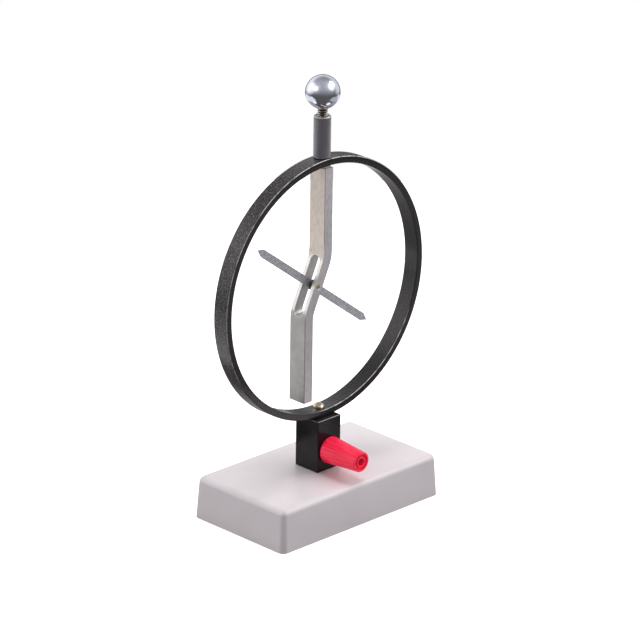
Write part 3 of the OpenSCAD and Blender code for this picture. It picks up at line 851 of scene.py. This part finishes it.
def bearing(name, side):
    """One bearing pin: a blind cup for the axle inside, a driver slot outside."""
    pin = turned(name, [
        (0.53, 3.2), (0.80, 3.2), (0.95, 3.35), (0.95, 5.72), (0.84, 5.86), (0.05, 5.87)], 40)
    carve(pin, turned("cup", [(0.53, 3.0), (0.53, 4.5), (0.05, 4.8)], 40))
    carve(pin, block("driver", (-1.2, -0.15, 5.45), (1.2, 0.15, 6.5)))
    set_at(pin, turn=(0, 0, 0.7))
    return set_at(pin, PIVOT, (-side * math.pi / 2, 0, 0))


def needle_strip():
    """Flat strip needle with two points, the upper one a little blunter."""
    half_w, half_t = NEEDLE_W / 2, NEEDLE_T / 2
    strip = block("needle_strip", (-half_w, -half_t, NEEDLE_POINT - LOWER_ARM),
                  (half_w, half_t, UPPER_ARM - NEEDLE_POINT))
    with editing(strip, "FACE"):
        for end, reach, nose in ((-1, NEEDLE_POINT, 0.05), (1, NEEDLE_POINT - 0.3, 0.18)):
            pick("faces", lambda f: f.normal.z * end > 0.9)
            extrude(0, 0, end * reach)
            widen(nose, 1)
    drill(strip, PIVOT_HOLE_R, -2, 2, turn=(math.pi / 2, 0, 0), steps=40)
    break_edges(strip, 0.05, 2, 32)
    return set_at(strip, PIVOT, (0, -NEEDLE_LEAN, 0))


def on_pivot(piece):
    """Lays a turned piece along the needle's axle."""
    return set_at(piece, PIVOT, (math.pi / 2, 0, 0))


def hub():
    """Round hub in front of the needle, with a spigot through it."""
    corners = [
        (0.52, -0.25), (0.95, -0.25), (0.95, 0.25), (2.9, 0.25), (2.9, 0.95), (1.3, 0.95),
        (1.3, 2.35), (0.52, 2.35)]
    radii = [0, 0, 0, 0, 0.12, 0.1, 0.15, 0]
    return on_pivot(turned("hub", eased(corners, radii), 64, bored=True))


def lock_ring():
    """Ring that locks the hub behind the needle."""
    corners = [(0.52, -1.15), (1.7, -1.15), (1.7, -0.25), (0.52, -0.25)]
    return on_pivot(turned("lock_ring", eased(corners, [0, 0.12, 0.05, 0]), 48, bored=True))


def axle():
    """Axle with two short points."""
    stations = [(0.02, -4.7), (0.06, -4.66), (0.5, -4.2), (0.5, 4.2), (0.06, 4.66), (0.02, 4.7)]
    return on_pivot(turned("axle", stations, 32))


def on_terminal(piece):
    """Lays a turned piece along the terminal, outwards from the pillar."""
    return set_at(piece, TERMINAL, (math.pi / 2, 0, 0))


def post():
    """Threaded post with a plug socket, a cross hole for wire, a flange and a tapped end."""
    front = threaded("post", POST_R, 2.46, 1.0, 0.9, 22.2, 40)
    # An odd number of steps and a slight turn keep the cutters' edges off the thread's own
    carve(front, turned("socket", [(SOCKET_R, SOCKET_FLOOR), (SOCKET_R, 21.9), (2.38, 22.4)], 61))
    drill(front, WIRE_HOLE_R, -4, 4, (0, 0, WIRE_HOLE), (0, math.pi / 2, 0.05), 32)
    with editing(front):
        bpy.ops.mesh.select_all(action="SELECT")
        bpy.ops.mesh.fill_holes(sides=8)
        bpy.ops.mesh.normals_make_consistent(inside=False)
    flange = turned("flange", [
        (FLANGE_R - 0.2, 0), (FLANGE_R, 0.2), (FLANGE_R, 1.0), (FLANGE_R - 0.2, 1.2), (2.6, 1.25)])
    tail = threaded("tail", POST_TAIL_R, 2.02, 0.8, -9.5, 0.3, 36)
    return on_terminal(gather("post", front, flange, tail))


def loose_washer():
    """Loose washer between the post's flange and the cap."""
    bore = POST_R + CLEAR
    corners = [(bore, 1.5), (5.2, 1.5), (5.2, 2.3), (bore, 2.3)]
    return on_terminal(turned("loose_washer", eased(corners, 0.12, 2), 72, bored=True))


def insert():
    """Thread insert in the cap."""
    bore, wall = POST_R + CLEAR, 4.5
    corners = [(bore, INSERT_FOOT), (wall, INSERT_FOOT), (wall, INSERT_TOP), (bore, INSERT_TOP)]
    return on_terminal(turned("insert", eased(corners, [0.3, 0.12, 0.3, 0.3], 2), 72, bored=True))


def cap_wall(along):
    """The cap's outer radius at a distance from the pillar."""
    return CAP_R - (CAP_R - CAP_TIP_R) * ((along - CAP_FOOT) / (CAP_TIP - CAP_FOOT))


def cap():
    """Tapered red cap: turned, then its flutes are pressed in between the ribs."""
    skirt, seat, bore, mouth = 5.7, 4.52, 3.25, 2.3
    rim, lip, groove, ledge = 4.6, 3.1, CAP_TIP - 2.0, 22.5
    corners = [
        (skirt, CAP_FOOT), (CAP_R, CAP_FOOT), (CAP_TIP_R, CAP_TIP), (rim, CAP_TIP),
        (rim, groove), (lip, groove), (lip, CAP_TIP), (mouth, CAP_TIP), (mouth, ledge),
        (bore, ledge), (bore, INSERT_TOP), (seat, INSERT_TOP), (seat, INSERT_FOOT),
        (skirt, INSERT_FOOT)]
    radii = [0.2, 0.6, 0.6, 0.25, 0.1, 0.1, 0.2, 0.2, 0, 0, 0, 0, 0, 0]
    steps = 4
    outline = eased(corners, radii, steps)
    # Four more stations on the wall, where the flutes begin and end
    foot = 2 * (steps + 1)
    outline[foot:foot] = [(cap_wall(along), along) for along in (1.6, 2.3, 22.9, 23.8)]
    body = turned("cap", outline, FLUTES * FLUTE_STEPS, bored=True)

    def in_flute(v, inner):
        spot = middle(v)
        turn = math.atan2(spot.y, spot.x) / math.tau
        step = round(turn * FLUTES * FLUTE_STEPS) % FLUTE_STEPS
        on_wall = spot.xy.length > cap_wall(spot.z) - 0.1
        return 2.0 < spot.z < 23.2 and on_wall and step in inner

    with editing(body):
        for inner, shrink in (((2, 3, 4, 5, 6), 0.980), ((3, 4, 5), 0.985), ((4,), 0.995)):
            pick("verts", lambda v: in_flute(v, inner))
            widen(shrink, shrink)
    return on_terminal(body)


def base_screw():
    """Screw up through the base into the pillar, under its two washers."""
    screw = cross_screw("base_screw_piece", BASE_SCREW_R, 23.4, 4.75, 3.7, 0.8)
    return set_at(screw, (0, 0, BASE_SCREW_SEAT), (math.pi, 0, 0))


def flat_washer():
    """Flat washer under the boss."""
    low, bore, rim = BOSS_FOOT - FLAT_WASHER_T, BASE_HOLE_R, 6.5
    corners = [(bore, low), (rim, low), (rim, BOSS_FOOT), (bore, BOSS_FOOT)]
    return turned("flat_washer", eased(corners, 0.12, 2), 72, bored=True)


def lock_washer():
    """Split washer under the flat one."""
    low, high, bore, rim = BASE_SCREW_SEAT, BASE_SCREW_SEAT + LOCK_WASHER_T, 2.52, 4.6
    corners = [(bore, low), (rim, low), (rim, high), (bore, high)]
    ring = turned("lock_washer", eased(corners, 0.08, 2), 72, bored=True)
    return carve(ring, block("split", (0, -0.4, low - 1), (8, 0.4, low + 3)))


def hoop_screw():
    """Screw inside the hoop's foot, down into the pillar."""
    length = HOOP_SCREW_SEAT - PILLAR_TOP + 10.0
    screw = cross_screw("hoop_screw_piece", HOOP_SCREW_R, length, HOOP_SCREW_HEAD, 2.6, 0.7)
    return set_at(screw, (0, 0, HOOP_SCREW_SEAT), (0, 0, 0.35))


def fit_out(piece, finish, body, node):
    """Gives a piece its finish and puts it in place of its CAD node."""
    take(piece)
    bpy.ops.object.shade_smooth_by_angle(angle=math.radians(32.0))
    apply_step(piece, "WEIGHTED_NORMAL", keep_sharp=True, weight=50)
    piece.data.materials.clear()
    piece.data.materials.append(finish)
    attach(piece, body)
    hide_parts(node)


zinc = plated_steel("bright_zinc", (0.66, 0.67, 0.69), (0.74, 0.75, 0.77), 0.28)
spring = plated_steel("spring_steel", (0.30, 0.30, 0.32), (0.42, 0.42, 0.44), 0.34)
dull_metal = plated_steel("dull_turned_metal", (0.22, 0.21, 0.20), (0.34, 0.33, 0.32), 0.38)
axle_steel = plated_steel("ground_steel", (0.38, 0.38, 0.40), (0.50, 0.50, 0.52), 0.25)
screw_gold = turned_brass("yellow_plate", (0.92, 0.80, 0.58), (0.74, 0.58, 0.38), 0.10)
pin_brass = turned_brass("bearing_brass", (0.78, 0.44, 0.13), (0.52, 0.26, 0.07), 0.25)
clean_brass = turned_brass("clean_brass", (0.80, 0.62, 0.30), (0.66, 0.48, 0.20), 0.20)
socket_brass = turned_brass("socket_brass", (0.36, 0.20, 0.10), (0.18, 0.09, 0.05), 0.30)

fit_out(base_moulding(), moulded_grey(), "stand", "base_shell")
fit_out(base_screw(), zinc, "stand", "base_screw")
fit_out(flat_washer(), zinc, "stand", "base_flat_washer")
fit_out(lock_washer(), spring, "stand", "base_lock_washer")
fit_out(pillar(), black_coat(), "stand", "pillar_block")
fit_out(hoop_strip(), hammered_black(), "stand", "hoop")
fit_out(hoop_screw(), screw_gold, "stand", "hoop_screw")
insulator = satin_insulator()
fit_out(bush(), insulator, "stand", "insulating_bush")
fit_out(sleeve(), insulator, "stand", "insulating_sleeve")
fit_out(stud(), thread_metal(), "stand", "knob_stud")
fit_out(ball(), polished_chrome(), "stand", "ball_knob")
fit_out(bar(), drawn_aluminium(), "stand", "conductor_bar")
fit_out(bearing("bearing_front", -1), pin_brass, "stand", "front_bearing")
fit_out(bearing("bearing_rear", 1), pin_brass, "stand", "rear_bearing")
fit_out(needle_strip(), strip_aluminium(), "pointer", "needle")
fit_out(hub(), dull_metal, "pointer", "needle_hub")
fit_out(lock_ring(), dull_metal, "pointer", "hub_ring")
fit_out(axle(), axle_steel, "pointer", "needle_axle")
fit_out(post(), socket_brass, "stand", "terminal_post")
fit_out(loose_washer(), clean_brass, "washer", "clamp_washer")
fit_out(insert(), clean_brass, "cap", "cap_insert")
fit_out(cap(), red_moulding(), "cap", "terminal_cap")


# Floor, light and camera

def direction(azimuth, elevation):
    """From the object towards a place that far round and up: azimuth 0 is -Y and 90 is +X."""
    a, e = math.radians(azimuth), math.radians(elevation)
    return Vector((math.sin(a) * math.cos(e), -math.cos(a) * math.cos(e), math.sin(e)))


AWAY = -direction(CAMERA_AZIMUTH, 0)  # level, from the camera past the object


def pale_floor():
    """White to the camera. To mirrored rays it is a bright sheet with painted light and shade: two
    painted patches of light, painted dark in front and partly a little behind, and darker to the
    far right.
    """
    deselect()
    bpy.ops.mesh.primitive_plane_add(size=0.74, location=AWAY * 0.17)
    floor = bpy.context.object
    floor.name = "floor"
    floor.rotation_euler.z = math.pi / 4
    floor.scale = (1.0, 1.6, 1.0)
    settle(floor)
    f = Finish("floor")
    seen = f.node("ShaderNodeLightPath", output="Is Camera Ray")
    mirrored = f.node("ShaderNodeLightPath", output="Is Glossy Ray")
    x, y, _ = f.axes(f.place())
    back = x * AWAY.x + y * AWAY.y
    right = x * AWAY.y - y * AWAY.x

    def painted_pool(across, behind, radius):
        apart = ((right - across) ** 2 + (back - behind) ** 2) ** 0.5
        return apart.ramp(radius, radius * 0.6)

    # Two painted patches of light, seen only by mirrored rays
    painted_pools = painted_pool(-0.195, -0.050, 0.080) + painted_pool(0.122, -0.050, 0.060)
    # Painted shade for mirrored rays: dark in front, and partly dark a little behind
    dark = back.ramp(0.07, 0.01).most(0.65 * back.ramp(0.42, 0.28))
    dark = dark * (1 - painted_pools) * right.size().ramp(0.26, 0.21)
    # Painted shade for mirrored rays to the far right
    painted_far_right_shade = right.ramp(0.17, 0.24) * back.ramp(0.36, 0.20)
    sheet = f.blend(mirrored * dark, (0.40, 0.39, 0.40), (0.09, 0.08, 0.08))
    paper = f.node("ShaderNodeBsdfDiffuse", inputs={
        "Color": f.blend(seen, sheet, (0.80, 0.80, 0.80))})
    painted_mirror_light = (1 - dark) * (1 - painted_far_right_shade) * 0.5 + painted_pools * 0.4
    glow = f.node("ShaderNodeEmission", inputs={
        "Color": (1.0, 1.0, 1.0), "Strength": seen * 0.62 + mirrored * painted_mirror_light})
    f.end_with(f.node("ShaderNodeAddShader", inputs={0: paper, 1: glow}))
    floor.data.materials.append(f.material)


def overhead():
    """One large soft lamp above. Mirrors don't see it, because the studio has lamps for them."""
    deselect()
    bpy.ops.object.light_add(type="AREA")
    lamp = bpy.context.object
    lamp.name = "overhead"
    lamp.data.shape = "RECTANGLE"
    lamp.data.size, lamp.data.size_y = 0.6, 0.6
    lamp.data.energy = 9.0
    towards = direction(100, 78)
    lamp.location = Vector((0, 0, 0.12)) + towards * 1.2
    lamp.rotation_mode = "QUATERNION"
    lamp.rotation_quaternion = towards.to_track_quat("Z", "Y")
    lamp.visible_glossy = False


def studio():
    """White backdrop behind, a dim room in front: the camera sees plain white everywhere."""
    world = bpy.data.worlds.new("studio")
    bpy.context.scene.world = world
    world.use_nodes = True
    f = Finish("studio", world.node_tree)
    way = f.node("ShaderNodeTexCoord", output="Generated")
    x, y, z = f.axes(way)
    behind = (x * AWAY.x + y * AWAY.y).ramp(-0.15, 0.45)
    left = (y * AWAY.x - x * AWAY.y).ramp(-0.1, 0.6)
    room = z.ramp(-0.35, 0.80) * 0.38 + 0.11
    backdrop = (0.84 + 0.24 * left) * (1 - z.ramp(0.40, 0.85) * 0.6)
    backdrop = backdrop * (0.25 + 0.75 * z.ramp(-0.35, -0.1))
    level = room * (1 - behind) + backdrop * behind
    level = level * (1 - 0.8 * f.facing(way, direction(135, -21)).ramp(0.74, 0.90))
    # Soft lamps: azimuth, elevation, how nearly a direction meets their rim and core, and strength
    lamps = (
        (-100, 30, 0.955, 0.999, 2.4), (-100, 30, 0.78, 0.98, 0.25), (-135, 18, 0.80, 0.99, 0.85),
        (30, 36, 0.88, 0.99, 1.05), (30, 36, 0.62, 0.97, 0.15), (60, 41, 0.95, 0.995, 3.4))
    for azimuth, elevation, rim, core, glow in lamps:
        level = level + f.facing(way, direction(azimuth, elevation)).ramp(rim, core) * glow
    seen = f.node("ShaderNodeLightPath", output="Is Camera Ray")
    strength = level * (1 - seen) + seen
    sky = f.node("ShaderNodeBackground", inputs={"Color": (1.0, 1.0, 1.0), "Strength": strength})
    f.end_with(sky, "ShaderNodeOutputWorld")


def camera():
    """Camera at the photograph's place, a long way off, and turned by its slight roll."""
    back = direction(CAMERA_AZIMUTH, CAMERA_ELEVATION)
    level = math.radians(CAMERA_AZIMUTH)
    right = Vector((math.cos(level), math.sin(level), 0))
    up = back.cross(right)
    roll = math.radians(CAMERA_ROLL)
    right, up = (right * math.cos(roll) + up * math.sin(roll),
                 up * math.cos(roll) - right * math.sin(roll))
    deselect()
    bpy.ops.object.camera_add()
    view = bpy.context.object
    view.data.sensor_width = SENSOR
    view.data.lens = SENSOR * FOCAL_LENGTH / PICTURE
    view.data.clip_start, view.data.clip_end = 0.1, 100
    turn = Matrix((right, up, back)).transposed().to_4x4()
    view.matrix_world = Matrix.Translation(CAMERA_TARGET + back * CAMERA_DISTANCE) @ turn
    bpy.context.scene.camera = view


pale_floor()
studio()
overhead()
camera()
bpy.context.scene.view_settings.view_transform = "Standard"
